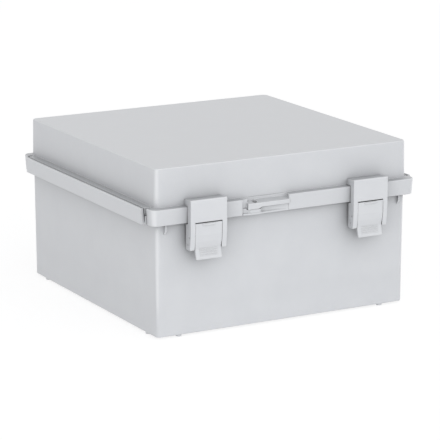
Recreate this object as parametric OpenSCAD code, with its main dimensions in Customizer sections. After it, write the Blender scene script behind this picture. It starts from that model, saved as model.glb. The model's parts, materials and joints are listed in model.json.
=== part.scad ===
// Hinged wall enclosure lying on its back: drafted base, domed lid with an
// overhanging skirt, two clip latches with release rockers at the front, two
// pinned hinges behind, side guards, seal and brass inserts.
// Millimetres. +Z up, latches towards -Y, origin under the middle of the base
// at the level of the feet.

/* [Enclosure] */
// Width of the lid's top face
body_w = 300; // [240:1:360]
// Depth of the lid's top face, latch side to hinge side
body_d = 300; // [260:1:360]
// Height of the base, from its underside to the skirt's lower edge
base_h = 119.3; // [90:1:180]
// Height of the lid's block above the skirt's top face
lid_h = 40; // [25:1:70]
// Radius of the lid's upright corners
corner_r = 5.5; // [5.4:0.1:8]
// Wall thickness of the base
base_wall = 3; // [2.5:0.1:3.4]
// Wall thickness of the lid
lid_wall = 3; // [2.4:0.1:3.4]
// Thickness of the base's floor
floor_t = 3; // [2:0.1:5]
// Draft of the base on each side, over its height
base_draft = 0.9; // [0.4:0.1:1.4]
// Draft of the lid block on each side, over its height
lid_draft = 0.63; // [0.3:0.01:0.9]
// Rounding of the lid's top edge
lid_edge_r = 1.5; // [0.8:0.1:2.2]

/* [Skirt and seal] */
// How far the skirt stands out past the lid's top outline
skirt_out = 7.9; // [7.6:0.1:9]
// Height of the skirt
skirt_h = 17.7; // [17:0.1:22]
// Thickness of the skirt's upright wall
skirt_t = 2.7; // [2.2:0.1:3]
// Width of the seal's groove
groove_w = 4; // [3.6:0.1:4.2]
// Thickness of the base's sealing tongue
tongue_t = 2; // [1.6:0.1:2.2]
// Depth of the groove above the seal's sealing face
seal_h = 1.9; // [1.5:0.1:2.2]

/* [Latches] */
// Distance of each latch's middle from the lid's side
latch_in = 53; // [50:1:60]
// Width of a latch
latch_w = 42; // [38:0.5:50]
// Width of the window that the release rocker fills
window_w = 31.4; // [28:0.1:32]
// Play between the rocker and its window on each side
rocker_play = 0.3; // [0.2:0.05:0.6]
// Diameter of the latch pins and rocker pins
latch_pin_d = 3; // [2.5:0.1:3.2]
// Radial clearance of every running pin fit
pin_clear = 0.05; // [0.02:0.01:0.09]

/* [Hinges] */
// Distance of each hinge's middle from the lid's side
hinge_in = 53; // [50:1:80]
// Width of a hinge leaf
leaf_w = 50; // [46:0.5:60]
// Width of the leaf's middle knuckle
knuckle_w = 16; // [12:0.5:20]
// Width of each knuckle on the base
base_knuckle_w = 7.6; // [6:0.1:9]
// Outer diameter of the knuckles
knuckle_d = 9; // [8:0.1:9.2]
// Diameter of the hinge pins
hinge_pin_d = 4; // [3:0.1:4.4]

/* [Padlock eye] */
// Diameter of the hole for the shackle
eye_d = 5.5; // [4:0.1:5.6]
// Where the hole stands, left of the middle
eye_x = -38.5; // [-39.5:0.1:-36]

/* [Side guards] */
// How far each end of a side guard stops short of the lid's corner
guard_in = 9.8; // [9:0.1:40]
// Thickness of a side guard's upright
guard_t = 2.9; // [2:0.1:3.4]
// Distance of a guard's outer screws from its ends
lug_in = 30.2; // [20:0.1:60]

/* [Feet and fixing] */
// Height of the feet under the base
foot_h = 2; // [1:0.1:4]
// Diameter of the feet
foot_d = 6; // [4:0.1:8]
// Distance of the feet from the lid's corner, along the edge
foot_in = 28; // [24:1:50]
// Distance of the wall fixing holes from the lid's sides
fixing_in = 17; // [16:1:30]
// Diameter of the wall fixing holes
fixing_d = 6.6; // [4:0.1:8]
// Distance of the inner panel's inserts from the lid's sides
insert_in = 30; // [27:1:60]
// Bore of the brass inserts
insert_bore = 3.3; // [2.5:0.1:4.2]
// Outer diameter of the brass inserts
insert_d = 6; // [5.2:0.1:7]
// Length of the brass inserts
insert_l = 8; // [6:0.5:9]
// Height of the panel posts above the floor
post_h = 12; // [10:0.5:30]

/* [Hidden] */
$fn = 64;
hw = body_w / 2;
hd = body_d / 2;
latch_x = hw - latch_in;
hinge_x = hw - hinge_in;
guard_len = body_d - 2 * guard_in;
lug_y = guard_len / 2 - lug_in;
z_base = foot_h;                       // underside of the base
z_floor = z_base + floor_t;
z_skirt = z_base + base_h;             // lower edge of the skirt
z_flange = z_skirt + skirt_h;          // top of the skirt at the lid's wall
z_top = z_flange + lid_h;
fl_drop = 0.6;                         // fall of the skirt's top to its rim
fl_r = 1;                              // rounding of that rim
skirt_lean = 1.1;                      // draft of the skirt's outer face
o_base = -base_draft - 0.35;           // base outline, from the lid's outline
o_rim = -0.35;
rim_h = 12.7;                          // height of the base's rim in the skirt
tongue_h = 3;                          // height of the tongue on that rim
tongue_c = 0.3;                        // chamfer of the tongue and the seal
seal_gap = 0.1;                        // between the tongue and the seal
rim_gap = 1.2;                         // between the rim and the skirt's plate
roof_t = 3;                            // thickness of the lid's roof
z_rim = z_skirt + rim_h;
z_tongue = z_rim + tongue_h;
o_tongue = -2.1;                       // middle of the sealing tongue
z_groove = z_tongue + seal_gap + seal_h;  // roof of the groove
z_under = z_rim + rim_gap;             // underside of the skirt's top plate
guard_end_gap = 4;                     // from a guard's end to the side skirt's
guard_notch = guard_len / 2 + guard_end_gap;
z_notch = z_skirt + 9.3;
// side guards: an upright outside the skirt on a web under the base's lugs
guard_gap = 1.4;                       // between the skirt and a guard
guard_drop = 0.8;                      // top of a guard, below the skirt's
web_drop = 0.1;                        // underside of the web, below the skirt
web_rise = 2.2;                        // and its top, under the lugs
guard_lug_w = 16;                      // lugs on the base
guard_lug_h = 5.6;
guard_lug_out = 6.2;
guard_screw_out = 3.4;                 // screws, from the lid's side
guard_screw_d = 2.4;
guard_screw_l = 6.2;
guard_screw_gap = 0.2;                 // play of a screw's thread and head
guard_head_d = 4.8;
guard_head_t = 1.3;
guard_o = skirt_out + guard_gap;
o_wall_in = o_base - base_wall;

// what is moulded on the base
wall_bite = 1.8;                       // how deep it reaches into the wall
foot_edge = 5;                         // middle of a foot, from the lid's edge
fixing_boss_d = 15;                    // boss round a fixing hole
fixing_pad_d = fixing_d + 6;           // pad under it, level with the feet
fixing_head_d = fixing_d + 5;          // sunk seat for the screw's head
fixing_seat_h = 1;                     // height of that seat above the floor
post_wall = 2;                         // wall of a panel post round its insert
collar_t = 0.6;                        // collar of an insert on its post
collar_out = 0.7;                      // how far it stands out
rib_in = 9.9;                          // thin ribs under the skirt's corners
rib_t = 2;
rib_out = 3.2;
rib_drop = 10.6;

// hinge axis, leaves and their screws
hinge_reach = 16;                      // axis behind the lid's edge
hinge_rise = 8.7;                      // axis above the skirt's lower edge
leaf_reach = 11;                       // back face of a leaf
leaf_rise = 3;                         // lower end of a leaf
leaf_edge_r = 1.6;                     // rounding along its top
knuckle_gap = 0.4;                     // between the knuckles, and at their ends
arm_drop = 17;                         // lower end of the base's arms
arm_gap = 0.9;                         // between the arms and the skirt
hinge_head_t = 1.5;                    // head of a hinge pin
hinge_head_out = 1;
leaf_screw_d = 3.2;
leaf_screw_l = 7;
leaf_screw_gap = 0.2;                  // play of the screw in the leaf's hole
leaf_screw_in = 3.5;                   // from the leaf's side
leaf_screw_drop = 1.5;                 // below the hinge axis
leaf_screw_start = 4.2;                // how far out its thread starts
leaf_head_d = 5.6;
leaf_head_t = 2;
leaf_head_z = 6.8;                     // underside of the head, along the screw
cross_t = 0.7;                         // cross recess in the head
cross_l = 3.4;
cross_depth = 1;
hy = hd + hinge_reach;
hz = z_skirt + hinge_rise;
hr = knuckle_d / 2;
y_leaf = hd + leaf_reach;
z_leaf = z_skirt + leaf_rise;
pin_half = knuckle_w / 2 + base_knuckle_w + knuckle_gap;

// latches, latch pins and rocker pins
latch_out = 15;                        // front face of a latch, from the lid
latch_hook_h = 7;                      // how far it stands above the skirt
latch_drop = 28;                       // lower end, under the skirt's edge
latch_edge_r = 1.8;                    // rounding along its top
latch_pin_out = 8.2;
latch_pin_drop = 22.3;
rocker_pin_out = 11;
rocker_pin_drop = 14.8;
pin_short = 0.3;                       // each end of a pin, inside the latch
window_rise = 1.1;                     // top of the window, above the skirt's edge
hook_gap = 1.1;                        // between the hook's end and the lid
latch_lug_x = 11.8;                    // lugs on the base, from the latch's middle
latch_lug_t = 5.6;
latch_lug_wall = 1.4;                  // wall of a lug round its pin
py = -hd - latch_pin_out;
pz = z_skirt - latch_pin_drop;
ry = -hd - rocker_pin_out;
rz = z_skirt - rocker_pin_drop;
pr = latch_pin_d / 2;
z_win = z_skirt + window_rise;
z_lbot = z_skirt - latch_drop;
y_face = -hd - latch_out;
latch_top = z_flange + latch_hook_h;

// release rockers
rocker_gap = 1.2;                      // slot between a rocker and its latch
rocker_in = 11.5;                      // back of the plate, clear of the lugs
bend_drop = 26.5;                      // bend between plate and tab
bend_in = 2.5;                         // that bend, behind the latch's face
tab_drop = 38;                         // lower edge of the tab
tab_out = 0.3;                         // that edge, before the latch's face
tab_t = 1.5;
grip_n = 4;
grip_pitch = 2.1;
grip_w = 20;
grip_h = 0.8;
slot_bar_w = 14;                       // raised bar under the slot
slot_bar_h = 1.9;
slot_bar_out = 0.4;
ear_in = 2.5;                          // ears for the pin, from the rocker's side
ear_t = 4.6;
ear_wall = 1.1;
rocker_w = window_w - 2 * rocker_play;
z_tab = z_skirt - tab_drop;
z_bend = z_skirt - bend_drop;
y_bend = y_face + bend_in;
y_tip = y_face - tab_out;
y_in = -hd - rocker_in;

// padlock eye: the lid's shelf in a bay of the skirt, over the base's bracket
eye_out = 4.6;                         // middle of the hole, from the lid
shelf_out = 8.5;                       // front of the shelf
shelf_rise = 7.7;                      // its underside, above the skirt's edge
shelf_edge_r = 1;                      // rounding along its front
lip_drop = 6.5;                        // middle of that rounding
lip_a = 25;                            // slope of the shelf behind it
eye_rise = 5.9;                        // underside of the block round the hole
block_l = 9;                           // that block, to the left of the hole
block_r = 7.5;                         // and to the right
bay_reach = 14.5;                      // left end of the bay, from the hole
bay_r = 1.4;                           // right end of the bay
bay_back = 2;                          // back wall of the bay
bay_step = 5.2;                        // the bay's left end, level on both halves
eye_gap = 0.4;                         // between the lid's half and the base's
bracket_lip_t = 1.8;                   // lip along the bracket's lower edge
eye_y = -hd - eye_out;
eye_front = -hd - shelf_out;
eye_l = eye_x - block_l;
eye_r = eye_x + block_r;
bay_l = eye_x - bay_reach;
z_plate = z_skirt + shelf_rise;
z_eye = z_skirt + eye_rise;
z_lip = z_flange - lip_drop;
y_shelf = -hd - bay_back;
bay_left_r = 2.4;                      // rounding of the skirt's ends there
bay_right_r = 1.4;
skirt_c = 0.3;                         // middle of the skirt's corner arcs

grey = [0.80, 0.81, 0.82];
steel = [0.62, 0.63, 0.65];
brass = [0.78, 0.62, 0.30];

// sweeps a profile, drawn as (offset from the lid's outline, height), round
// the rounded square that the whole enclosure follows; the corner arcs are
// centred c inside the outline
module ring(c = corner_r) {
  for (i = [0:3]) {
    a = (i % 2 == 0) ? hw : hd;
    b = (i % 2 == 0) ? hd : hw;
    rotate(i * 90) translate([a - c, b - c, 0]) {
      rotate_extrude(angle = 90, $fn = 96)
        intersection() {
          translate([c, 0]) children();
          square([60, 400]);
        }
      rotate([90, 0, 0]) linear_extrude(2 * (b - c))
        intersection() {
          translate([c, 0]) children();
          square([60, 400]);
        }
    }
  }
}
module core(z0, z1) translate([-hw + corner_r, -hd + corner_r, z0])
  cube([body_w - 2 * corner_r, body_d - 2 * corner_r, z1 - z0]);

// draws a profile (y, z) as a bar along X from x0 to x1
module bar(x0, x1) translate([x0, 0, 0]) rotate([90, 0, 90])
  linear_extrude(x1 - x0) children();

module mirror_x() { children(); mirror([1, 0, 0]) children(); }

// ---- base ----
module base_profile() polygon([[-corner_r, z_base], [o_base - 0.5, z_base],
  [o_base, z_base + 0.5], [o_rim, z_skirt], [o_rim, z_rim],
  [o_tongue + tongue_t / 2, z_rim],
  [o_tongue + tongue_t / 2, z_tongue - tongue_c],
  [o_tongue + tongue_t / 2 - tongue_c, z_tongue],
  [o_tongue - tongue_t / 2 + tongue_c, z_tongue],
  [o_tongue - tongue_t / 2, z_tongue - tongue_c],
  [o_tongue - tongue_t / 2, z_rim - 0.5],
  [o_rim - base_wall - 0.2, z_rim - 1.5],
  [o_wall_in, z_floor + 2], [o_wall_in - 0.6, z_floor + 0.6],
  [-corner_r, z_floor]]);
module corners_at(d) for (x = [-1, 1], y = [-1, 1])
  translate([x * (hw - d), y * (hd - d), 0]) children();
module insert_places() {
  corners_at(insert_in) children();
  for (s = [-1, 1]) {
    translate([s * (hw - insert_in), 0, 0]) children();
    translate([0, s * (hd - insert_in), 0]) children();
  }
}
module latch_lugs() for (s = [-1, 1], t = [-1, 1])
  translate([s * latch_x + t * latch_lug_x, 0, 0])
    bar(-latch_lug_t / 2, latch_lug_t / 2) difference() {
      union() {
        translate([py, pz]) circle(r = pr + latch_lug_wall);
        polygon([[-hd + wall_bite, pz + 7], [py - 0.5, pz + pr + 1.35],
          [py - 1, pz - 2.7], [-hd + wall_bite, pz - 4.5]]);
      }
      translate([py, pz]) circle(r = pr + pin_clear);
    }
module hinge_arms() for (s = [-1, 1], t = [-1, 1])
  translate([s * hinge_x + t * (pin_half - base_knuckle_w / 2), 0, 0])
    bar(-base_knuckle_w / 2, base_knuckle_w / 2) difference() {
      union() {
        translate([hy, hz]) circle(r = hr);
        polygon([[hd - wall_bite, z_skirt - arm_drop], [hd - wall_bite, z_skirt - arm_gap],
          [hy - hr, z_skirt - arm_gap], [hy - hr, hz], [hy + hr, hz],
          [hy + hr, hz - 8], [hy + 1, hz - 13], [hd + 3, z_skirt - arm_drop]]);
      }
      translate([hy, hz]) circle(d = hinge_pin_d);
    }
// the base's half of the padlock eye: a face that fills the notch in the
// skirt, bulged round the hole, with a lip along its lower edge
module eye_bracket() difference() {
  union() {
    difference() {
      translate([0, 0, z_skirt]) linear_extrude(z_plate - eye_gap - z_skirt)
        polygon([[bay_l + eye_gap, -hd + wall_bite], [bay_l + eye_gap, -hd - bay_step],
          [eye_l - 0.6, -hd - 5.9], [eye_x - 6, -hd - 7.6], [eye_x - 4, -hd - 7.9],
          [eye_x + 4, -hd - 7.9], [eye_x + 6, -hd - 7.6], [eye_r + 1, -hd - 5.4],
          [eye_r + 14, -hd - 5.9], [bay_r - eye_gap / 2, -hd - 7],
          [bay_r - eye_gap / 2, -hd + wall_bite]]);
      translate([eye_l - 0.5, -hd - 12, z_eye - 0.3])
        cube([eye_r - eye_l + 1, 11.4, 10]);
    }
    translate([0, 0, z_skirt]) linear_extrude(bracket_lip_t)
      polygon([[bay_l + eye_gap, -hd + wall_bite], [bay_l + eye_gap, -hd - 6.7],
        [eye_l - 3, -hd - 6.8], [eye_x - 5, -hd - 8.2], [eye_x + 5, -hd - 8.2],
        [eye_r + 4, -hd - 6.8], [bay_r - eye_gap / 2, -hd - 6.9],
        [bay_r - eye_gap / 2, -hd + wall_bite]]);
  }
  translate([eye_x, eye_y, z_skirt - 1]) cylinder(d = eye_d, h = 20);
}
module corner_ribs() for (a = [0, 180]) rotate(a) for (s = [-1, 1])
  translate([s * (hw - rib_in), 0, 0]) bar(-rib_t / 2, rib_t / 2)
    polygon([[-hd + wall_bite, z_skirt - 0.2], [-hd - rib_out, z_skirt - 0.2],
      [-hd - rib_out, z_skirt - 6.5], [-hd - 0.2, z_skirt - rib_drop],
      [-hd + wall_bite, z_skirt - rib_drop]]);
module guard_lugs() mirror_x() for (y = [-lug_y, 0, lug_y])
  translate([hw - wall_bite, y - guard_lug_w / 2, z_skirt + web_rise])
    difference() {
      cube([wall_bite + guard_lug_out, guard_lug_w, guard_lug_h]);
      translate([wall_bite + guard_screw_out, guard_lug_w / 2, -1])
        cylinder(d = guard_screw_d, h = guard_screw_l - web_rise - web_drop + 1.1);
    }
module base_shell() color(grey) difference() {
  union() {
    ring() base_profile();
    core(z_base, z_floor);
    for (x = [-1, 1]) {
      for (y = [-1, 1]) {
        translate([x * (hw - foot_in), y * (hd - foot_edge), 0])
          cylinder(d = foot_d, h = foot_h + 0.2);
        translate([x * (hw - foot_edge), y * (hd - foot_in), 0])
          cylinder(d = foot_d, h = foot_h + 0.2);
      }
    }
    corners_at(fixing_in) {
      translate([0, 0, z_base + 0.5]) cylinder(d = fixing_boss_d, h = floor_t + 4);
      cylinder(d = fixing_pad_d, h = foot_h + 0.2);
    }
    insert_places() translate([0, 0, z_floor - 0.5])
      cylinder(d1 = insert_d + 2 * post_wall + 1, d2 = insert_d + 2 * post_wall, h = post_h + 0.5);
    latch_lugs();
    hinge_arms();
    eye_bracket();
    corner_ribs();
    guard_lugs();
  }
  corners_at(fixing_in) {
    translate([0, 0, -1]) cylinder(d = fixing_d, h = z_floor + 10);
    translate([0, 0, z_floor + fixing_seat_h]) cylinder(d = fixing_head_d, h = 9);
  }
  insert_places() translate([0, 0, z_floor + post_h - insert_l])
    cylinder(d = insert_d, h = insert_l + 1);
}

module threaded_inserts() color(brass) insert_places()
  translate([0, 0, z_floor + post_h - insert_l]) difference() {
    union() {
      cylinder(d = insert_d, h = insert_l);
      translate([0, 0, insert_l]) cylinder(d = insert_d + 2 * collar_out, h = collar_t);
    }
    translate([0, 0, -1]) cylinder(d = insert_bore, h = insert_l + 3);
  }

// ---- side guards ----
module side_guard() color(grey) {
  rotate([90, 0, 0]) translate([hw, 0, -guard_len / 2]) linear_extrude(guard_len)
    polygon([[0.3, z_skirt - web_drop], [guard_o + guard_t - 1.1, z_skirt - web_drop],
      [guard_o + guard_t, z_flange - guard_drop - 1.4],
      [guard_o + guard_t - 0.8, z_flange - guard_drop],
      [guard_o + 0.5, z_flange - guard_drop], [guard_o, z_flange - guard_drop - 0.5],
      [guard_o - 0.95, z_skirt + web_rise], [0.3, z_skirt + web_rise]]);
  // blocks across the ends
  for (s = [-1, 1]) translate([hw + 0.3,
      s * guard_len / 2 - (s > 0 ? 2.2 : 2.7), z_skirt - web_drop])
    cube([guard_o - 1.8, 3.7, 9]);
}
module guard_drill() for (y = [-lug_y, 0, lug_y])
  translate([hw + guard_screw_out, y, z_skirt - 1]) {
    cylinder(d = guard_screw_d + guard_screw_gap, h = 8);
    cylinder(d = guard_head_d + 2 * guard_screw_gap, h = 1 - web_drop + guard_head_t);
  }
module side_guard_right() color(grey) difference() { side_guard(); guard_drill(); }
module side_guard_left() color(grey) mirror([1, 0, 0]) difference() { side_guard(); guard_drill(); }
module guard_screws() color(steel) mirror_x() for (y = [-lug_y, 0, lug_y])
  translate([hw + guard_screw_out, y, z_skirt - web_drop]) difference() {
    union() {
      cylinder(d = guard_head_d, h = guard_head_t);
      cylinder(d = guard_screw_d, h = guard_screw_l);
    }
    translate([-0.4, -3, -1]) cube([0.8, 6, 1.6]);
  }

// ---- lid ----
// the domed block
module lid_profile() union() {
  polygon([[-corner_r, z_top], [-lid_edge_r, z_top], [-lid_edge_r, z_top - lid_edge_r],
    [0, z_top - lid_edge_r], [lid_draft, z_flange], [lid_draft, z_under],
    [-0.1, z_under], [-corner_r + 0.2, z_under + 0.4],
    [-corner_r + 0.2, z_groove + 2], [-lid_wall + 0.55, z_groove + 3.6],
    [-lid_wall, z_top - roof_t - 1.2], [-lid_wall - 1.2, z_top - roof_t],
    [-corner_r, z_top - roof_t]]);
  translate([-lid_edge_r, z_top - lid_edge_r]) circle(r = lid_edge_r);
}
// the overhanging skirt: a plate that falls to a rounded rim, and its wall
module skirt_profile() union() {
  polygon([[-skirt_c, z_flange], [lid_draft, z_flange],
    [skirt_out - fl_r, z_flange - fl_drop], [skirt_out - fl_r, z_flange - fl_drop - fl_r],
    [skirt_out, z_flange - fl_drop - fl_r], [skirt_out - skirt_lean, z_skirt + 0.5],
    [skirt_out - skirt_lean - 0.5, z_skirt],
    [skirt_out - skirt_lean - skirt_t, z_skirt],
    [skirt_out - skirt_t - 0.5, z_under], [-skirt_c, z_under]]);
  translate([skirt_out - fl_r, z_flange - fl_drop - fl_r]) circle(r = fl_r);
}
// plan of the bay for the padlock eye, with rounded ends to the skirt
module bay_plan(r_left, r_right) union() {
  translate([bay_l, -hd - 12]) square([bay_r - bay_l, 10.2]);
  difference() {
    translate([bay_l - r_left, -hd - 12]) square([r_left + 1, 12 - skirt_out + r_left]);
    translate([bay_l - r_left, -hd - skirt_out + r_left]) circle(r = r_left);
  }
  if (r_right > 0) difference() {
    translate([bay_r - 1, -hd - 12]) square([r_right + 1, 12 - skirt_out + r_right]);
    translate([bay_r + r_right, -hd - skirt_out + r_right]) circle(r = r_right);
  }
}
lip_y = eye_front + shelf_edge_r;
lip_end = [lip_y - shelf_edge_r * sin(lip_a), z_lip + shelf_edge_r * cos(lip_a)];
module lid_shell() color(grey) difference() {
  union() {
    difference() {
      union() {
        ring() lid_profile();
        core(z_top - roof_t, z_top);
        ring(skirt_c) skirt_profile();
        // fills between the block's corners and the skirt's
        for (x = [-1, 1], y = [-1, 1])
          translate([x * (hw - (corner_r + skirt_c) / 2), y * (hd - (corner_r + skirt_c) / 2),
            (z_under + z_flange) / 2])
            cube([corner_r - skirt_c, corner_r - skirt_c, z_flange - z_under], center = true);
      }
      // side skirts are short behind the guards, with a pocket at each end
      mirror_x() {
        translate([hw + 0.8, -guard_notch, z_skirt - 1])
          cube([12, 2 * guard_notch, z_notch - z_skirt + 1]);
        for (s = [-1, 1])
          translate([hw + 2.6, s * (guard_notch - 2.4) - 2.4, z_skirt + 2])
            cube([12, 4.8, 40]);
      }
      translate([0, 0, z_skirt - 1]) linear_extrude(skirt_h + 2) bay_plan(bay_left_r, 0);
      translate([0, 0, z_plate + 1]) linear_extrude(skirt_h) bay_plan(bay_left_r, bay_right_r);
    }
    // back wall of the bay, level with the skirt's top
    translate([bay_l - 0.5, y_shelf, z_plate])
      cube([bay_r - bay_l + 1, 1.9, z_flange - z_plate - 0.15]);
    // its left end stands forward, level with the base's half below it
    translate([bay_l - 0.5, -hd - bay_step, z_plate])
      cube([eye_l - bay_l + 1, 4, z_flange - z_plate - 0.9]);
    // shelf that slopes to a rounded front, and the eye's block at its left end
    bar(eye_l, bay_r + 0.5) union() {
      polygon([[-hd - 0.5, z_plate], [eye_front, z_plate], [eye_front, z_lip],
        [lip_y, z_lip], [lip_end[0], lip_end[1]],
        [y_shelf, lip_end[1] + tan(lip_a) * (y_shelf - lip_end[0])],
        [-hd - 0.5, z_flange - 2.8]]);
      translate([lip_y, z_lip]) circle(r = shelf_edge_r);
    }
    translate([0, -hd - 0.9, 0]) rotate([90, 0, 0])
      linear_extrude(-hd - 0.9 - eye_front)
        polygon([[eye_l, z_eye + 0.4], [eye_l + 0.4, z_eye], [eye_x + 3, z_eye],
          [eye_r - 2, z_eye + 0.6], [eye_r, z_plate + 0.2], [eye_r, z_plate + 2],
          [eye_l, z_plate + 2]]);
  }
  ring() translate([o_tongue - groove_w / 2, z_under - 2])
    square([groove_w, z_groove - z_under + 2]);
  translate([eye_x, eye_y, z_skirt]) cylinder(d = eye_d, h = z_flange - z_skirt);
}
module lid_seal() color([0.25, 0.25, 0.26]) ring()
  polygon([[o_tongue - groove_w / 2, z_groove - seal_h + tongue_c],
    [o_tongue - groove_w / 2 + tongue_c, z_groove - seal_h],
    [o_tongue + groove_w / 2 - tongue_c, z_groove - seal_h],
    [o_tongue + groove_w / 2, z_groove - seal_h + tongue_c],
    [o_tongue + groove_w / 2, z_groove], [o_tongue - groove_w / 2, z_groove]]);

// ---- hinge leaves: clipped over the skirt behind, like the latches ----
// the skirt's outer face where a leaf's lower end rests on it
leaf_in = skirt_out - skirt_lean * (z_flange - fl_drop - fl_r - z_leaf)
  / (skirt_h - fl_drop - fl_r - 0.5);
z_leaf_top = latch_top - leaf_edge_r - 0.6;  // middle of the rounding
module hinge_leaf() color(grey) difference() {
  union() {
    bar(-leaf_w / 2, leaf_w / 2) union() {
      polygon([[hd + leaf_in, z_leaf], [y_leaf, z_leaf], [y_leaf, z_leaf_top],
        [y_leaf - leaf_edge_r, z_leaf_top],
        [y_leaf - leaf_edge_r, z_leaf_top + leaf_edge_r],
        [hd + 1, latch_top - 1.4], [hd + 1, z_flange - 0.02],
        [hd + skirt_out - fl_r, z_flange - fl_drop + 0.01],
        [hd + skirt_out + 0.02, z_flange - fl_drop - 0.02],
        [hd + skirt_out, z_flange - fl_drop - fl_r]]);
      translate([y_leaf - leaf_edge_r, z_leaf_top]) circle(r = leaf_edge_r);
    }
    bar(-knuckle_w / 2, knuckle_w / 2) union() {
      translate([hy, hz]) circle(r = hr);
      translate([y_leaf - 0.5, hz - hr]) square([hy - y_leaf + 0.5, 2 * hr]);
    }
  }
  bar(-knuckle_w, knuckle_w) translate([hy, hz]) circle(r = hinge_pin_d / 2 + pin_clear);
  for (s = [-1, 1])
    translate([s * (leaf_w / 2 - leaf_screw_in), hd, hz - leaf_screw_drop]) rotate([-90, 0, 0])
      cylinder(d = leaf_screw_d + leaf_screw_gap, h = leaf_reach + 1);
}
module hinge_leaf_left() color(grey) translate([-hinge_x, 0, 0]) hinge_leaf();
module hinge_leaf_right() color(grey) translate([hinge_x, 0, 0]) hinge_leaf();
module hinge_screws() color(steel) for (h = [-1, 1], s = [-1, 1])
  translate([h * hinge_x + s * (leaf_w / 2 - leaf_screw_in),
      hd + leaf_screw_start, hz - leaf_screw_drop])
    rotate([-90, 0, 0]) difference() {
      union() {
        cylinder(d = leaf_screw_d, h = leaf_screw_l);
        translate([0, 0, leaf_head_z]) cylinder(d = leaf_head_d, h = leaf_head_t);
      }
      for (a = [0, 90]) rotate(a)
        translate([-cross_l / 2, -cross_t / 2, leaf_head_z + leaf_head_t - cross_depth])
          cube([cross_l, cross_t, cross_depth + 1]);
    }
module hinge_pin() {
  bar(-pin_half - 0.2, pin_half + knuckle_gap) translate([hy, hz]) circle(d = hinge_pin_d);
  bar(-pin_half - 0.2 - hinge_head_t, -pin_half - 0.2) translate([hy, hz])
    circle(d = hinge_pin_d + 2 * hinge_head_out);
}
module hinge_pin_left() color(steel) translate([-hinge_x, 0, 0]) hinge_pin();
module hinge_pin_right() color(steel) translate([hinge_x, 0, 0]) hinge_pin();

// ---- latches ----
module latch_profile() union() {
  polygon([[-hd - hook_gap, z_flange + 0.4], [-hd - hook_gap, latch_top - 1.4],
    [-hd - 2, latch_top - 0.7], [y_face + latch_edge_r, latch_top],
    [y_face + latch_edge_r, latch_top - latch_edge_r],
    [y_face, latch_top - latch_edge_r], [y_face, z_skirt - 11], [y_face + 0.6, z_skirt - 18],
    [y_face + 2, z_lbot + 0.6], [y_face + 2.5, z_lbot],
    [-hd - 5.8, z_lbot], [-hd - 4.5, z_lbot + 1.6], [-hd - 4.5, z_skirt - 1.9],
    [-hd - 8.45, z_skirt - 0.5], [-hd - 8.45, z_flange - 0.9], [-hd - 7.8, z_flange - 0.25]]);
  translate([y_face + latch_edge_r, latch_top - latch_edge_r]) circle(r = latch_edge_r);
}
module latch() color(grey) difference() {
  bar(-latch_w / 2, latch_w / 2) latch_profile();
  // window for the rocker, open below
  translate([-window_w / 2, -hd - 30, z_lbot - 1]) cube([window_w, 30, z_win - z_lbot + 1]);
  // hollow behind the bridge, split by a rib
  for (s = [-1, 1]) translate([s > 0 ? 1 : -window_w / 2 + 1, -hd - 12.4, z_win + 2.2])
    cube([window_w / 2 - 2, 6, 13]);
  // pin holes
  bar(-latch_w, latch_w) translate([py, pz]) circle(d = latch_pin_d);
  bar(-latch_w, latch_w) translate([ry, rz]) circle(d = latch_pin_d);
}
module pin_at(y, z) bar(-latch_w / 2 + pin_short, latch_w / 2 - pin_short)
  translate([y, z]) circle(d = latch_pin_d);
module latch_left() color(grey) translate([-latch_x, 0, 0]) latch();
module latch_right() color(grey) translate([latch_x, 0, 0]) latch();
module latch_pin_left() color(steel) translate([-latch_x, 0, 0]) pin_at(py, pz);
module latch_pin_right() color(steel) translate([latch_x, 0, 0]) pin_at(py, pz);
module rocker_pin_left() color(steel) translate([-latch_x, 0, 0]) pin_at(ry, rz);
module rocker_pin_right() color(steel) translate([latch_x, 0, 0]) pin_at(ry, rz);

// release rocker: plate in the window, tab kicked outwards below, grips
z_rock = z_win - rocker_gap;           // top of the plate
module release() color(grey) difference() {
  union() {
    intersection() {
      bar(-rocker_w / 2, rocker_w / 2)
        polygon([[y_face + 0.15, z_rock], [y_face + 0.3, z_skirt - 12.8],
          [y_face + 1.1, z_skirt - 19.8], [y_bend, z_bend], [y_tip, z_tab + 0.6],
          [y_tip + 0.4, z_tab], [y_tip + tab_t, z_tab], [y_bend + 2.6, z_bend - 1.6],
          [y_in, z_bend + 0.8], [y_in, pz], [y_face + 2.8, z_rock]]);
      rotate([90, 0, 0]) translate([0, 0, hd]) linear_extrude(30)
        polygon([[-rocker_w / 2, z_win], [-rocker_w / 2, z_skirt - 20],
          [-rocker_w / 2 + 0.5, z_bend], [-rocker_w / 2 + 0.6, z_tab + 0.9],
          [-rocker_w / 2 + 1.6, z_tab - 0.1], [rocker_w / 2 - 1.6, z_tab - 0.1],
          [rocker_w / 2 - 0.6, z_tab + 0.9], [rocker_w / 2 - 0.5, z_bend],
          [rocker_w / 2, z_skirt - 20], [rocker_w / 2, z_win]]);
    }
    // bar under the slot
    translate([-slot_bar_w / 2, y_face - slot_bar_out, z_rock - 0.5 - slot_bar_h])
      cube([slot_bar_w, slot_bar_out + 0.8, slot_bar_h]);
    // grips across the tab
    for (i = [0:grip_n - 1]) let (z = z_bend - 1.6 - i * grip_pitch)
      translate([-grip_w / 2,
          y_bend + (y_tip - y_bend) * (z_bend - z) / (z_bend - z_tab) - 0.3, z])
        cube([grip_w, 1.4, grip_h]);
    // ears for the pin
    for (s = [-1, 1]) translate([s * (rocker_w / 2 - ear_in), 0, 0]) bar(-ear_t / 2, ear_t / 2) {
      translate([ry, rz]) circle(r = pr + ear_wall);
      translate([y_face + 2, rz - 2.6]) square([2, 5.2]);
    }
  }
  bar(-rocker_w, rocker_w) translate([ry, rz]) circle(r = pr + pin_clear);
}
module release_left() color(grey) translate([-latch_x, 0, 0]) release();
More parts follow.
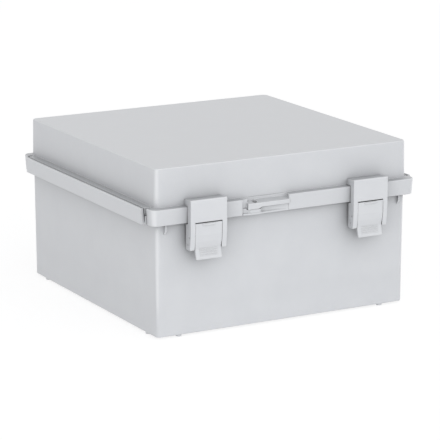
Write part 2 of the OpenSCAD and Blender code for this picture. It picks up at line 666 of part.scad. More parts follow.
module release_right() color(grey) translate([latch_x, 0, 0]) release();

base_shell();
threaded_inserts();
side_guard_left();
side_guard_right();
guard_screws();
hinge_pin_left();
hinge_pin_right();
lid_shell();
lid_seal();
hinge_leaf_left();
hinge_leaf_right();
hinge_screws();
latch_left();
latch_right();
latch_pin_left();
latch_pin_right();
rocker_pin_left();
rocker_pin_right();
release_left();
release_right();
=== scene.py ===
# %% [markdown]
# # A hinged polycarbonate enclosure
# A square wall box lies on its back with its domed lid closed. Two clip
# latches hold the lid at the front and two pinned hinges hold it behind. The
# construction model is loaded as a fixed frame, so each finish and each added
# detail takes its place from the node that it belongs to. Lengths are metres,
# +Z is up and the latches face -Y.

# %% Load the frame
import json
import math
import bpy
import bmesh
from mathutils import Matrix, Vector


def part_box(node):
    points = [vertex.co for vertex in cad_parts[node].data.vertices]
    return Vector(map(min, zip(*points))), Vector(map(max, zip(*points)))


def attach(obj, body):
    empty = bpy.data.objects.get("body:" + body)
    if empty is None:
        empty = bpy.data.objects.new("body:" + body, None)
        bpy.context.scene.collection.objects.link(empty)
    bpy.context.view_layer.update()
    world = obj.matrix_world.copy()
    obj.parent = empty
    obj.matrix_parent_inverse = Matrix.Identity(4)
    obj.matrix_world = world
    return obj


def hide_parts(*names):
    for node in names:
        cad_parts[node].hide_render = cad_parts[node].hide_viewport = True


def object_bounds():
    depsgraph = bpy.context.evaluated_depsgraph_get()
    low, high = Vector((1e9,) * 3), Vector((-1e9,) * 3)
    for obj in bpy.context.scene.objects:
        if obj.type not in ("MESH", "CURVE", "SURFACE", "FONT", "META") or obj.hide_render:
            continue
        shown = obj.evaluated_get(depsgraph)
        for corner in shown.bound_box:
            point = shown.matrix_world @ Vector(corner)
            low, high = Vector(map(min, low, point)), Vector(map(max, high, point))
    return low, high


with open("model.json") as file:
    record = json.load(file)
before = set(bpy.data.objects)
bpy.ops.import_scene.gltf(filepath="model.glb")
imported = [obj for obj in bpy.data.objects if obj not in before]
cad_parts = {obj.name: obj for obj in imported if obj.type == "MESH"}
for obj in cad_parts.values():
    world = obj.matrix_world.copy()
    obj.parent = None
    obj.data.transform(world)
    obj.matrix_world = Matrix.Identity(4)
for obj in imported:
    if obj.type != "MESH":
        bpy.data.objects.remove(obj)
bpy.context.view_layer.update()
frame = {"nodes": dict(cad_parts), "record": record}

MM = 0.001
nodes = frame["nodes"]
low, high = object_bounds()
print("nodes:", len(nodes), "size in mm:",
      [round((high[i] - low[i]) / MM, 1) for i in range(3)])

# %% [markdown]
# ## The point of view
# A long lens from far off keeps the upright edges nearly parallel, as a
# catalogue picture of a box does. It could be placed by hand, but an azimuth,
# an elevation and a distance round one target say more and are easy to change.

# %% The camera
AZIMUTH, ELEVATION = math.radians(-28.88), math.radians(13.73)
DISTANCE, LENS, SENSOR = 2.6229, 195.3, 36.0
target = Vector((0.00663, 0.0, 0.07638))


def add_object(name, data):
    """A new object with this data, in the scene."""
    thing = bpy.data.objects.new(name, data)
    bpy.context.scene.collection.objects.link(thing)
    return thing


def face_target(thing, place):
    """Put a camera or a lamp at a place and point it at the target."""
    thing.location = place
    thing.rotation_euler = (thing.location - target).to_track_quat("Z", "Y").to_euler()


back = Vector((math.sin(AZIMUTH) * math.cos(ELEVATION),
               -math.cos(AZIMUTH) * math.cos(ELEVATION),
               math.sin(ELEVATION)))
camera = add_object("camera", bpy.data.cameras.new("camera"))
camera.data.lens = LENS
camera.data.sensor_width = SENSOR
face_target(camera, target + back * DISTANCE)
bpy.context.scene.camera = camera
bpy.context.scene.view_settings.view_transform = "Standard"
print("camera at", [round(c, 3) for c in camera.location])

# %% [markdown]
# ## Helpers for node trees
# Every finish below is a small node tree. A material tree could be clicked
# together in the Shader Editor, but a script that names each node and joins
# them with one short call can be read from top to bottom.

# %% Node tree helpers
def add_node(tree, kind, values=None, **settings):
    """A node of this kind, with its input values and its settings."""
    node = tree.nodes.new(kind)
    for name, value in settings.items():
        setattr(node, name, value)
    for name, value in (values or {}).items():
        node.inputs[name].default_value = value
    return node


def join(tree, start, end):
    """Link an output socket to an input socket."""
    tree.links.new(start, end)


def feed(tree, value, end):
    """Link a socket to an input, or write a plain value into it."""
    if isinstance(value, bpy.types.NodeSocket):
        join(tree, value, end)
    else:
        end.default_value = value


def calc(tree, operation, *values):
    """A Math node's result for two or three sockets or numbers."""
    node = add_node(tree, "ShaderNodeMath", operation=operation)
    for value, end in zip(values, node.inputs):
        feed(tree, value, end)
    return node.outputs[0]


def grey(value):
    """A neutral colour."""
    return (value, value, value, 1)


print("node helpers ready")

# %% [markdown]
# ## A material to start from
# Each material needs an output, a shader and a place to read its pattern
# from. Object coordinates are chosen for all of them, because a pattern in
# them stays on its piece when the lid turns or a latch swings.

# %% Empty material
def new_material(name):
    """An empty material, its tree, its shader and the object's coordinates."""
    material = bpy.data.materials.new(name)
    material.use_nodes = True
    tree = material.node_tree
    tree.nodes.clear()
    out = add_node(tree, "ShaderNodeOutputMaterial")
    shader = add_node(tree, "ShaderNodeBsdfPrincipled")
    place = add_node(tree, "ShaderNodeTexCoord").outputs["Object"]
    join(tree, shader.outputs["BSDF"], out.inputs["Surface"])
    return material, tree, shader, place


def looked_at(tree):
    """1 for rays that show the background: camera, glossy, transmission."""
    rays = add_node(tree, "ShaderNodeLightPath").outputs
    seen = calc(tree, "MAXIMUM", rays["Is Camera Ray"], rays["Is Glossy Ray"])
    return calc(tree, "MAXIMUM", seen, rays["Is Transmission Ray"])


print("material helpers ready")

# %% [markdown]
# ## The floor
# The box stands on white studio paper. Paper under plain light is a little
# darker than white, so for the rays that look at it a part of its light is its
# own, and the rest still falls off where the box shades it. For all other
# rays it is plain pale paper that throws light back up at the box.

# %% Floor material
PAPER, PAPER_ROUGH = 0.92, 0.95
PAPER_GLOW, PAPER_LIT = 0.82, 0.26
paper, tree, shader, place = new_material("studio_paper")
shader.inputs["Base Color"].default_value = grey(PAPER)
shader.inputs["Roughness"].default_value = PAPER_ROUGH
own = add_node(tree, "ShaderNodeEmission", {"Color": grey(1), "Strength": PAPER_GLOW})
lit = add_node(tree, "ShaderNodeBsdfDiffuse", {"Color": grey(PAPER_LIT)})
white = add_node(tree, "ShaderNodeAddShader")
choice = add_node(tree, "ShaderNodeMixShader")
join(tree, own.outputs[0], white.inputs[0])
join(tree, lit.outputs[0], white.inputs[1])
join(tree, looked_at(tree), choice.inputs[0])
join(tree, shader.outputs[0], choice.inputs[1])
join(tree, white.outputs[0], choice.inputs[2])
join(tree, choice.outputs[0], tree.nodes["Material Output"].inputs["Surface"])
print("paper", PAPER, "with its own light", PAPER_GLOW)

# %% Floor
FLOOR_HALF, FLOOR_DROP = 6.0, 0.3 * MM
CORNERS = [(-1, -1), (1, -1), (1, 1), (-1, 1)]
floor_mesh = bpy.data.meshes.new("floor")
floor_mesh.from_pydata([(x * FLOOR_HALF, y * FLOOR_HALF, low[2] - FLOOR_DROP)
                        for x, y in CORNERS], [], [(0, 1, 2, 3)])
floor_mesh.materials.append(paper)
floor = add_object("floor", floor_mesh)
print("floor at", round((low[2] - FLOOR_DROP) / MM, 2), "mm")

# %% [markdown]
# ## The light tent
# A light tent wraps a pale product in even light, a little stronger from the
# front. Many lamps could stand for it. One world does it better: its strength
# follows the direction, so every recess darkens softly. Behind the box the
# strength stops falling, so that the back keeps its light too. The rays that
# look past the box see plain white.

# %% World
TENT, TENT_SLOPE, TENT_BEHIND = 0.75, 0.49, -0.42
TENT_SIDE = Vector((0.46, -0.96, -0.28)).normalized()
TENT_CLOTH = (0.985, 0.99, 1.0, 1)
world = bpy.data.worlds.new("light_tent")
world.use_nodes = True
bpy.context.scene.world = world
tree = world.node_tree
tree.nodes.clear()
out = add_node(tree, "ShaderNodeOutputWorld")
way = add_node(tree, "ShaderNodeTexCoord")
toward = add_node(tree, "ShaderNodeVectorMath", operation="DOT_PRODUCT")
toward.inputs[1].default_value = TENT_SIDE
join(tree, way.outputs["Generated"], toward.inputs[0])
side = calc(tree, "MAXIMUM", toward.outputs["Value"], TENT_BEHIND)
cloth = add_node(tree, "ShaderNodeBackground", {"Color": TENT_CLOTH})
join(tree, calc(tree, "MULTIPLY_ADD", side, TENT_SLOPE, TENT), cloth.inputs["Strength"])
shown = add_node(tree, "ShaderNodeBackground", {"Color": grey(1), "Strength": 1.0})
choice = add_node(tree, "ShaderNodeMixShader")
join(tree, looked_at(tree), choice.inputs[0])
join(tree, cloth.outputs[0], choice.inputs[1])
join(tree, shown.outputs[0], choice.inputs[2])
join(tree, choice.outputs[0], out.inputs["Surface"])
print("tent", TENT, "slope", TENT_SLOPE)

# %% [markdown]
# ## Two lamps
# The tent alone draws no bright lines. A broad panel above the front gives the
# latches and the skirt a soft shine, and a tall narrow strip to the left of
# the camera runs down the rounded upright edges. A point lamp would be
# simpler, but it would leave hard spots where satin plastic shows long lines.

# %% Lamps
PANEL_WATTS, STRIP_WATTS = 7.0, 9.0
PANEL_PLACE = Vector((-0.9, -2.4, 0.75))
STRIP_WAY, STRIP_FAR = Vector((-0.85, -0.47, 0.02)), 2.3


def area_lamp(name, watts, place, width, height):
    """A rectangular lamp that faces the box."""
    lamp = add_object(name, bpy.data.lights.new(name, "AREA"))
    lamp.data.shape = "RECTANGLE"
    lamp.data.size, lamp.data.size_y = width, height
    lamp.data.energy = watts
    face_target(lamp, place)
    print(name, "of", watts, "watts at", [round(c, 2) for c in lamp.location])


area_lamp("front_panel", PANEL_WATTS, PANEL_PLACE, width=1.6, height=0.9)
area_lamp("edge_strip", STRIP_WATTS, target + STRIP_WAY * STRIP_FAR, width=0.25, height=1.6)

# %% [markdown]
# ## Moulded polycarbonate
# The shells, guards, hinge leaves, latches and rockers are one light grey
# plastic with a fine satin grain from the spark-eroded mould. A flat grey
# would look like a drawing. A wide noise gives the faint clouding of the
# pigment, and later lets the gloss drift with it as on real mouldings.

# %% Pigment
CLOUD = {"scale": 28.0, "detail": 4.0, "roughness": 0.55}
PIGMENT = [(0.35, (0.648, 0.660, 0.682)), (0.68, (0.672, 0.684, 0.704))]


def noise(tree, place, scale, detail, roughness=0.5):
    """A noise value at each place."""
    node = add_node(tree, "ShaderNodeTexNoise",
                    {"Scale": scale, "Detail": detail, "Roughness": roughness})
    join(tree, place, node.inputs["Vector"])
    return node.outputs["Fac"]


def ramp(tree, value, stops):
    """A colour for each value, from pairs of a position and a colour."""
    node = add_node(tree, "ShaderNodeValToRGB")
    for at, colour in stops[1:-1]:
        node.color_ramp.elements.new(at)
    for stop, (at, colour) in zip(node.color_ramp.elements, stops):
        stop.position, stop.color = at, colour
    join(tree, value, node.inputs["Fac"])
    return node.outputs["Color"]


def clouded(tree, cloud, tint):
    """The pigment's colour, lighter or darker by a tint."""
    return ramp(tree, cloud, [(at, tuple(tint * c for c in colour) + (1,))
                              for at, colour in PIGMENT])


print("pigment from", PIGMENT[0][1], "to", PIGMENT[-1][1])

# %% [markdown]
# ## Painted shade in hollows and on ledges
# Under the overhanging skirt and round the latches the colour is darkened:
# this is painted shade where faces meet, and a little more painted shade
# lies on ledges that face up. It could be painted by hand. An ambient occlusion
# lookup finds the hollows by itself instead, and follows a latch when it
# swings. Near the floor it would take the paper for a wall, so it fades there.

# %% Painted shade
# Painted shade: the stops below darken the colour in hollows, and the ledge factor darkens
# ledges that face up.
HOLLOW, HOLLOW_SAMPLES = 45 * MM, 12
HOLLOW_SHADE_STOPS = [(0.0, 0.10), (0.12, 0.46), (0.30, 0.62),
                (0.55, 0.74), (0.90, 0.92), (1.0, 1.0)]
FLOOR_FADE = (15 * MM, 75 * MM)
LEDGE_SHADE, LEDGE_TILT, LEDGE_OPEN = 0.84, (0.55, 0.95), (0.90, 0.99)


def spread(tree, value, old, new=(0.0, 1.0), **settings):
    """A value with its old range laid on a new one."""
    node = add_node(tree, "ShaderNodeMapRange",
                    {"From Min": old[0], "From Max": old[1],
                     "To Min": new[0], "To Max": new[1]}, **settings)
    join(tree, value, node.inputs["Value"])
    return node.outputs["Result"]


def mix(tree, amount, first, second, kind="MIX"):
    """Two colours, mixed by an amount."""
    node = add_node(tree, "ShaderNodeMix", data_type="RGBA", blend_type=kind)
    join(tree, amount, node.inputs["Factor"])
    feed(tree, first, node.inputs[6])
    feed(tree, second, node.inputs[7])
    return node.outputs[2]


def split(tree, vector):
    """The three parts of a vector."""
    node = add_node(tree, "ShaderNodeSeparateXYZ")
    join(tree, vector, node.inputs[0])
    return node.outputs


def painted_shade(tree, place, facing, openness, colour):
    """A colour darkened by painted shade in hollows and on ledges."""
    hollow_shade = ramp(tree, openness, [(at, grey(value)) for at, value in HOLLOW_SHADE_STOPS])
    above = spread(tree, split(tree, place)["Z"], FLOOR_FADE, interpolation_type="SMOOTHSTEP")
    hollow_shaded = mix(tree, above, colour, hollow_shade, "MULTIPLY")
    ledge = spread(tree, split(tree, facing)["Z"], LEDGE_TILT)
    ledge_shaded = spread(tree, openness, LEDGE_OPEN, (LEDGE_SHADE, 1.0))
    return mix(tree, ledge, hollow_shaded, ledge_shaded, "MULTIPLY")


print("dust within", round(HOLLOW / MM), "mm of a neighbour")

# %% [markdown]
# ## Painted highlight on edges
# The edges of the box get a lighter colour in patches, a painted highlight,
# and a smoother gloss as if rubbed by hands and sleeves. The highlight could
# be a painted mask, but a bevel lookup finds a sharp edge anywhere: the
# normal that it rounds off differs from the flat one only there. A wide
# rounding is found by its own normal, which lies between two main faces. It
# gets the painted highlight only where it stands in open air.

# %% Edge highlight
EDGE, EDGE_SAMPLES = 0.9 * MM, 6
EDGE_TURN = (0.995, 0.86)
ROUND_HIGHLIGHT, ROUND_TURN, ROUND_OPEN = 0.70, (0.975, 0.80), (0.75, 0.97)
PATCH, PATCH_HIGHLIGHT = {"scale": 60.0, "detail": 3.0}, (0.45, 1.0)
NOISE_RANGE = (0.3, 0.7)  # where most values of a noise lie


def edge_highlight(tree, place, rounded):
    """How strong the painted highlight on each edge is, in patches, from its rounded normal."""
    flat = add_node(tree, "ShaderNodeNewGeometry")
    agree = add_node(tree, "ShaderNodeVectorMath", operation="DOT_PRODUCT")
    join(tree, rounded, agree.inputs[0])
    join(tree, flat.outputs["Normal"], agree.inputs[1])
    at_edge = spread(tree, agree.outputs["Value"], EDGE_TURN)
    in_patches = spread(tree, noise(tree, place, **PATCH), NOISE_RANGE, PATCH_HIGHLIGHT)
    return calc(tree, "MULTIPLY", at_edge, in_patches)


def round_highlight(tree, facing, openness):
    """How strong the painted highlight on each wide rounding in open air is."""
    plain = add_node(tree, "ShaderNodeVectorMath", operation="ABSOLUTE")
    join(tree, facing, plain.inputs[0])
    parts = split(tree, plain.outputs[0])
    largest = calc(tree, "MAXIMUM", calc(tree, "MAXIMUM", parts["X"], parts["Y"]), parts["Z"])
    between = spread(tree, largest, ROUND_TURN, (0.0, ROUND_HIGHLIGHT))
    return calc(tree, "MULTIPLY", between, spread(tree, openness, ROUND_OPEN))


print("edges highlighted within", round(EDGE / MM, 1), "mm")

# %% [markdown]
# ## The finished plastic
# Pigment, painted shade and a painted edge highlight come together in one
# shader. Its gloss is satin, drifts with the clouding and is smoother on the
# highlighted edges. A clear coat gives the broad soft shine of a moulded skin,
# and a fine bump the grain. The clips get a copy that is a shade lighter.

# %% Grain
SPECK = {"scale": 900.0, "detail": 2.0}
GRAIN, GRAIN_DEPTH = 0.18, 0.04 * MM


def emboss(tree, height, strength, depth, shader, normal=None):
    """Let a height bump a shader's normal."""
    node = add_node(tree, "ShaderNodeBump", {"Strength": strength, "Distance": depth})
    join(tree, height, node.inputs["Height"])
    if normal is not None:
        join(tree, normal, node.inputs["Normal"])
    join(tree, node.outputs["Normal"], shader.inputs["Normal"])


print("grain", round(GRAIN_DEPTH / MM, 2), "mm deep")

# %% Grey polycarbonate
# The lighter colour below is the painted highlight on edges and roundings.
HIGHLIGHT_TINT = (0.80, 0.81, 0.825, 1)
GLOSS, GLOSS_RUBBED = (0.40, 0.50), -0.12
INDEX, SPECULAR = 1.46, 0.5
COAT, COAT_ROUGH = 0.5, 0.30
# The clips' copy of the plastic is this much lighter.
CLIP_TINT = 1.04


def polycarbonate(name, tint=1.0):
    """Satin grey plastic with grain and clouding, painted shade in hollows, and edges with a
    painted highlight and a smoother gloss.
    """
    material, tree, shader, place = new_material(name)
    cloud = noise(tree, place, **CLOUD)
    facing = add_node(tree, "ShaderNodeTexCoord").outputs["Normal"]
    openness = add_node(tree, "ShaderNodeAmbientOcclusion", {"Distance": HOLLOW},
                        samples=HOLLOW_SAMPLES).outputs["AO"]
    rounded = add_node(tree, "ShaderNodeBevel", {"Radius": EDGE},
                       samples=EDGE_SAMPLES).outputs["Normal"]
    # Painted shade darkens the colour in hollows and on ledges.
    colour = painted_shade(tree, place, facing, openness, clouded(tree, cloud, tint))
    highlight_and_wear = calc(tree, "MAXIMUM", edge_highlight(tree, place, rounded),
                round_highlight(tree, facing, openness))
    # Painted highlight: edges and wide roundings are lightened, and their gloss is smoother.
    join(tree, mix(tree, highlight_and_wear, colour, HIGHLIGHT_TINT), shader.inputs["Base Color"])
    gloss = spread(tree, cloud, NOISE_RANGE, GLOSS)
    join(tree, calc(tree, "MULTIPLY_ADD", highlight_and_wear, GLOSS_RUBBED, gloss), shader.inputs["Roughness"])
    shader.inputs["IOR"].default_value = INDEX
    shader.inputs["Specular IOR Level"].default_value = SPECULAR
    shader.inputs["Coat Weight"].default_value = COAT
    shader.inputs["Coat Roughness"].default_value = COAT_ROUGH
    emboss(tree, noise(tree, place, **SPECK), GRAIN, GRAIN_DEPTH, shader, rounded)
    return material


plastic = polycarbonate("grey_polycarbonate")
clip_plastic = polycarbonate("clip_polycarbonate", CLIP_TINT)
print("made", plastic.name, "and", clip_plastic.name)

# %% Plastic on its nodes
PLASTIC = ["base_shell", "lid_shell", "side_guard_left", "side_guard_right",
           "hinge_leaf_left", "hinge_leaf_right"]
CLIPS = ["latch_left", "latch_right", "release_left", "release_right"]


def dress(names, material):
    """Give these construction nodes one finish."""
    for name in names:
        nodes[name].data.materials.clear()
        nodes[name].data.materials.append(material)
    print(material.name, "on", len(names), "nodes")


dress(PLASTIC, plastic)
dress(CLIPS, clip_plastic)

# %% [markdown]
# ## Drawn steel
# The pins and screws are stainless steel. Wire is drawn through a die, which
# leaves fine lines along it, so the noise is squeezed across the pin and
# pulled out along it.

# %% Steel
def lined_metal(name, axes, lines, tones, gloss, strength, depth):
    """A metal with fine lines along the axes that are scaled least."""
    material, tree, shader, place = new_material(name)
    squeeze = add_node(tree, "ShaderNodeMapping", {"Scale": axes})
    join(tree, place, squeeze.inputs["Vector"])
    line = noise(tree, squeeze.outputs["Vector"], **lines)
    join(tree, ramp(tree, line, list(zip((0.0, 1.0), tones))), shader.inputs["Base Color"])
    join(tree, spread(tree, line, (0.0, 1.0), gloss), shader.inputs["Roughness"])
    shader.inputs["Metallic"].default_value = 1.0
    emboss(tree, line, strength, depth, shader)
    return material


STEEL = {"lines": {"scale": 300.0, "detail": 5.0, "roughness": 0.6},
         "tones": [(0.46, 0.46, 0.47, 1), (0.66, 0.66, 0.67, 1)],
         "gloss": (0.22, 0.42), "strength": 0.25, "depth": 0.02 * MM}
PINS = ["hinge_pin_left", "hinge_pin_right", "latch_pin_left", "latch_pin_right",
        "rocker_pin_left", "rocker_pin_right"]
dress(PINS, lined_metal("steel_pin", (0.06, 4.0, 4.0), **STEEL))
dress(["guard_screws", "hinge_screws"], lined_metal("steel_screw", (2.0, 2.0, 2.0), **STEEL))

# %% [markdown]
# ## Turned brass
# The inserts are turned from bar, so rings run round each bore. One ring
# pattern about one centre would miss the other seven inserts. The noise of
# the steel, squeezed in height, gives each of them its lines instead.

# %% Brass
BRASS = {"lines": {"scale": 500.0, "detail": 4.0},
         "tones": [(0.52, 0.36, 0.12, 1), (0.72, 0.53, 0.22, 1)],
         "gloss": (0.20, 0.38), "strength": 0.3, "depth": 0.03 * MM}
brass = lined_metal("turned_brass", (1.0, 1.0, 9.0), **BRASS)
dress(["threaded_inserts"], brass)

# %% [markdown]
# ## Foamed seal
# The seal is foam poured into the lid's groove. It has a soft skin over
# bubbles. A smooth black would look like hard rubber, so small cells show as
# pits and the colour is never quite even.

# %% Seal foam
FOAM_TONES = [(0.0, (0.030, 0.030, 0.032, 1)), (1.0, (0.065, 0.065, 0.068, 1))]
FOAM_CLOUD, FOAM_ROUGH = {"scale": 160.0, "detail": 3.0}, 0.85
CELLS, PIT, PIT_DEPTH = 1400.0, 0.5, 0.1 * MM
foam, tree, shader, place = new_material("seal_foam")
cell = add_node(tree, "ShaderNodeTexVoronoi", {"Scale": CELLS})
join(tree, place, cell.inputs["Vector"])
tone = ramp(tree, noise(tree, place, **FOAM_CLOUD), FOAM_TONES)
join(tree, tone, shader.inputs["Base Color"])
shader.inputs["Roughness"].default_value = FOAM_ROUGH
emboss(tree, cell.outputs["Distance"], PIT, PIT_DEPTH, shader)
dress(["lid_seal"], foam)

# %% [markdown]
# ## Rules that repeat
# Some details follow a rule: a thread is in every insert, and the marks of the
# ejector pins stand in a grid. They could be copied by hand, and then every
# change of size would be done again on each copy. Geometry Nodes state the
# rule once, with named sizes, and the result is kept as a plain mesh.

# %% Rule helpers
def new_rule(name, sizes):
    """A geometry tree with a Geometry input and these named size inputs."""
    tree = bpy.data.node_groups.new(name, "GeometryNodeTree")
    face = tree.interface
    face.new_socket("Geometry", in_out="INPUT", socket_type="NodeSocketGeometry")
    for size in sizes:
        face.new_socket(size, in_out="INPUT", socket_type="NodeSocketFloat")
    face.new_socket("Geometry", in_out="OUTPUT", socket_type="NodeSocketGeometry")
    given = tree.nodes.new("NodeGroupInput").outputs
    return tree, given, tree.nodes.new("NodeGroupOutput")


def end_rule(tree, made, result, material):
    """End a tree in Realize Instances and Set Material."""
    real = add_node(tree, "GeometryNodeRealizeInstances")
    paint = add_node(tree, "GeometryNodeSetMaterial", {"Material": material})
    join(tree, made, real.inputs[0])
    join(tree, real.outputs[0], paint.inputs["Geometry"])
    join(tree, paint.outputs[0], result.inputs["Geometry"])


print("rule helpers ready")

# %% [markdown]
# ## From a rule to a piece
# A tree needs an object to run on. A carrier of loose points holds it for a
# moment: its modifier gets the sizes, and what comes out is copied to a plain
# mesh that rides on a body of the frame. Doubled points are merged, and each
# closed form is turned to face outwards, as the export expects.

# %% Growing a piece
MERGE = 0.001 * MM


def face_out(mesh):
    """Merge doubled points and turn every face of a closed mesh outwards."""
    shape = bmesh.new()
    shape.from_mesh(mesh)
    bmesh.ops.remove_doubles(shape, verts=shape.verts, dist=MERGE)
    bmesh.ops.recalc_face_normals(shape, faces=shape.faces)
    shape.to_mesh(mesh)
    shape.free()


def grow(name, tree, sizes, points, body, smooth=True):
    """Run a tree on points and keep the result as a plain mesh on a body."""
    seed = bpy.data.meshes.new(name + "_points")
    seed.from_pydata([tuple(p) for p in points], [], [])
    carrier = add_object(name + "_carrier", seed)
    rule = carrier.modifiers.new("rule", "NODES")
    rule.node_group = tree
    for item in tree.interface.items_tree:
        if item.in_out == "INPUT" and item.name in sizes:
            rule[item.identifier] = sizes[item.name]
    carrier.update_tag()
    depsgraph = bpy.context.evaluated_depsgraph_get()
    mesh = bpy.data.meshes.new_from_object(carrier.evaluated_get(depsgraph))
    bpy.data.objects.remove(carrier)
    face_out(mesh)
    mesh.polygons.foreach_set("use_smooth", [smooth] * len(mesh.polygons))
    piece = add_object(name, mesh)
    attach(piece, body)
    print(name, "has", len(mesh.polygons), "faces")
    return piece


print("points closer than", MERGE / MM, "mm are merged")

# %% [markdown]
# ## Threads in the inserts
# A screw would turn in every brass insert, so each bore has a thread. A coil
# with a three-sided section is the plainest thread that still catches light
# like one, and one coil is placed on the middle of each insert.

# %% Thread rule
COIL_STEPS, THREAD_SIDES = 14, 3
tree, given, result = new_rule("thread_rule", ["Bore", "Length", "Turns", "Depth"])
coil = add_node(tree, "GeometryNodeCurveSpiral", {"Resolution": COIL_STEPS})
section = add_node(tree, "GeometryNodeCurvePrimitiveCircle", {"Resolution": THREAD_SIDES})
thread = add_node(tree, "GeometryNodeCurveToMesh", {"Fill Caps": True})
copies = add_node(tree, "GeometryNodeInstanceOnPoints")
join(tree, given["Bore"], coil.inputs["Start Radius"])
join(tree, given["Bore"], coil.inputs["End Radius"])
join(tree, given["Length"], coil.inputs["Height"])
join(tree, given["Turns"], coil.inputs["Rotations"])
join(tree, given["Depth"], section.inputs["Radius"])
join(tree, coil.outputs["Curve"], thread.inputs["Curve"])
join(tree, section.outputs["Curve"], thread.inputs["Profile Curve"])
join(tree, given["Geometry"], copies.inputs["Points"])
join(tree, thread.outputs["Mesh"], copies.inputs["Instance"])
end_rule(tree, copies.outputs["Instances"], result, brass)
thread_rule = tree
print("thread rule has", len(tree.nodes), "nodes")

# %% Insert threads
PITCH, THREAD_DEPTH = 0.7 * MM, 0.3 * MM
posts = {m["name"]: m["dims"] for m in frame["record"]["mounts"]}["panel_posts"]
corner = posts["spacing_x_mm"] / 2 * MM
bottom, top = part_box("threaded_inserts")
length = top.z - bottom.z - PITCH
middles = [Vector((x * corner, y * corner, bottom.z + PITCH / 2))
           for x in (-1, 0, 1) for y in (-1, 0, 1) if (x, y) != (0, 0)]
grow("insert_threads", thread_rule,
     {"Bore": posts["hole_r_mm"] * MM, "Length": length, "Turns": length / PITCH,
      "Depth": THREAD_DEPTH}, middles, "base")

# %% [markdown]
# ## The foam bead
# The foam is poured as a bead along the groove and swells to a rounded rope.
# A swept square would be too crisp. The path is a rounded square and the
# section is a rounded bar, and a slow noise lets the height wander a little,
# as poured foam does. It stands for the plain seal of the frame.

# %% Bead rule
BEAD_STEP, TURN_POINTS, ROUND_POINTS = 2.0 * MM, 10, 5
tree, given, result = new_rule(
    "bead_rule", ["Side", "Corner", "Groove", "Thickness", "Rounding", "Height", "Wander"])
square = add_node(tree, "GeometryNodeCurvePrimitiveQuadrilateral")
turn = add_node(tree, "GeometryNodeFilletCurve", {"Count": TURN_POINTS}, mode="POLY")
upright = add_node(tree, "GeometryNodeSetCurveNormal", mode="Z_UP")
finer = add_node(tree, "GeometryNodeResampleCurve", {"Length": BEAD_STEP}, mode="LENGTH")
bar = add_node(tree, "GeometryNodeCurvePrimitiveQuadrilateral")
soft = add_node(tree, "GeometryNodeFilletCurve", {"Count": ROUND_POINTS}, mode="POLY")
swept = add_node(tree, "GeometryNodeCurveToMesh")
for end in ("Width", "Height"):
    join(tree, given["Side"], square.inputs[end])
join(tree, square.outputs["Curve"], turn.inputs["Curve"])
join(tree, given["Corner"], turn.inputs["Radius"])
join(tree, turn.outputs["Curve"], upright.inputs["Curve"])
join(tree, upright.outputs["Curve"], finer.inputs["Curve"])
join(tree, given["Groove"], bar.inputs["Width"])
join(tree, given["Thickness"], bar.inputs["Height"])
join(tree, bar.outputs["Curve"], soft.inputs["Curve"])
join(tree, given["Rounding"], soft.inputs["Radius"])
join(tree, finer.outputs["Curve"], swept.inputs["Curve"])
join(tree, soft.outputs["Curve"], swept.inputs["Profile Curve"])
print("bead path in steps of", round(BEAD_STEP / MM, 1), "mm")

# %% Height of the bead
WANDER_NOISE = {"Scale": 90.0, "Detail": 1.0}
lift = add_node(tree, "ShaderNodeCombineXYZ")
raised = add_node(tree, "GeometryNodeTransform")
wander = add_node(tree, "ShaderNodeTexNoise", WANDER_NOISE)
shift = add_node(tree, "ShaderNodeCombineXYZ")
poured = add_node(tree, "GeometryNodeSetPosition")
join(tree, given["Height"], lift.inputs["Z"])
join(tree, swept.outputs["Mesh"], raised.inputs["Geometry"])
join(tree, lift.outputs["Vector"], raised.inputs["Translation"])
centred = calc(tree, "SUBTRACT", wander.outputs["Fac"], 0.5)
join(tree, calc(tree, "MULTIPLY", centred, given["Wander"]), shift.inputs["Z"])
join(tree, raised.outputs["Geometry"], poured.inputs["Geometry"])
join(tree, shift.outputs["Vector"], poured.inputs["Offset"])
end_rule(tree, poured.outputs["Geometry"], result, foam)
bead_rule = tree
print("bead rule has", len(tree.nodes), "nodes")

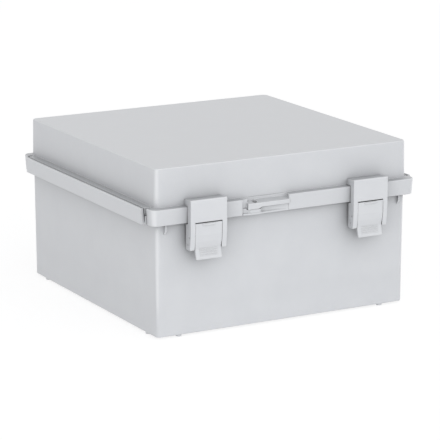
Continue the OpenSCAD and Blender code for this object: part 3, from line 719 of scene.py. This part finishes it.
# %% Foam bead
GROOVE, CORNER, BEAD_ROUND, BEAD_WANDER = 4.0 * MM, 3.4 * MM, 0.8 * MM, 0.10 * MM
inner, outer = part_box("lid_seal")
bead = grow("foam_bead", bead_rule,
            {"Side": 2 * (outer.x - GROOVE / 2), "Corner": CORNER, "Groove": GROOVE,
             "Thickness": outer.z - inner.z, "Rounding": BEAD_ROUND,
             "Height": (inner.z + outer.z) / 2, "Wander": BEAD_WANDER},
            [(0, 0, 0)], "lid")
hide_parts("lid_seal")
spans = [[v.co[i] for v in bead.data.vertices] for i in range(3)]
print("bead in mm:", [round((max(s) - min(s)) / MM, 2) for s in spans])

# %% [markdown]
# ## Ejector marks
# Steel pins push a moulding out of its mould and leave round marks inside,
# where nobody minds them. They could be drawn in the plastic's bump, but a
# thin disc catches light at its rim as the real mark does. The height of the
# floor and of the lid's roof is measured with a ray, and the discs stand on a
# grid there.

# %% Mark rule
MARK_SIDES = 28
tree, given, result = new_rule("mark_rule", ["Radius", "Depth"])
disc = add_node(tree, "GeometryNodeMeshCylinder", {"Vertices": MARK_SIDES})
copies = add_node(tree, "GeometryNodeInstanceOnPoints")
join(tree, given["Radius"], disc.inputs["Radius"])
join(tree, given["Depth"], disc.inputs["Depth"])
join(tree, given["Geometry"], copies.inputs["Points"])
join(tree, disc.outputs["Mesh"], copies.inputs["Instance"])
end_rule(tree, copies.outputs["Instances"], result, plastic)
mark_rule = tree
print("mark rule has", len(tree.nodes), "nodes")

# %% Ejector marks
MARK_R, MARK_H = 3.5 * MM, 0.12 * MM
BASE_PITCH, LID_PITCH = 45 * MM, 30 * MM
PROBE, PROBE_BASE, PROBE_LID = (10 * MM, 13 * MM), 100 * MM, 150 * MM


def surface_height(node, start, way):
    """The height at which a ray up or down from another one meets a node."""
    return nodes[node].ray_cast(Vector((*PROBE, start)), Vector((0, 0, way)))[1].z


def mark_grid(name, height, pitch, steps, body):
    """Marks on a square grid at one height of a body."""
    points = [(x * pitch, y * pitch, height) for x in steps for y in steps]
    grow(name, mark_rule, {"Radius": MARK_R, "Depth": 2 * MARK_H}, points,
         body, smooth=False)


floor_z = surface_height("base_shell", PROBE_BASE, -1)
roof_z = surface_height("lid_shell", PROBE_LID, 1)
mark_grid("base_ejector_marks", floor_z, BASE_PITCH, range(-2, 3), "base")
mark_grid("lid_ejector_marks", roof_z, LID_PITCH, (-3, -1, 1, 3), "lid")
print("floor and roof in mm:", round(floor_z / MM, 2), round(roof_z / MM, 2))
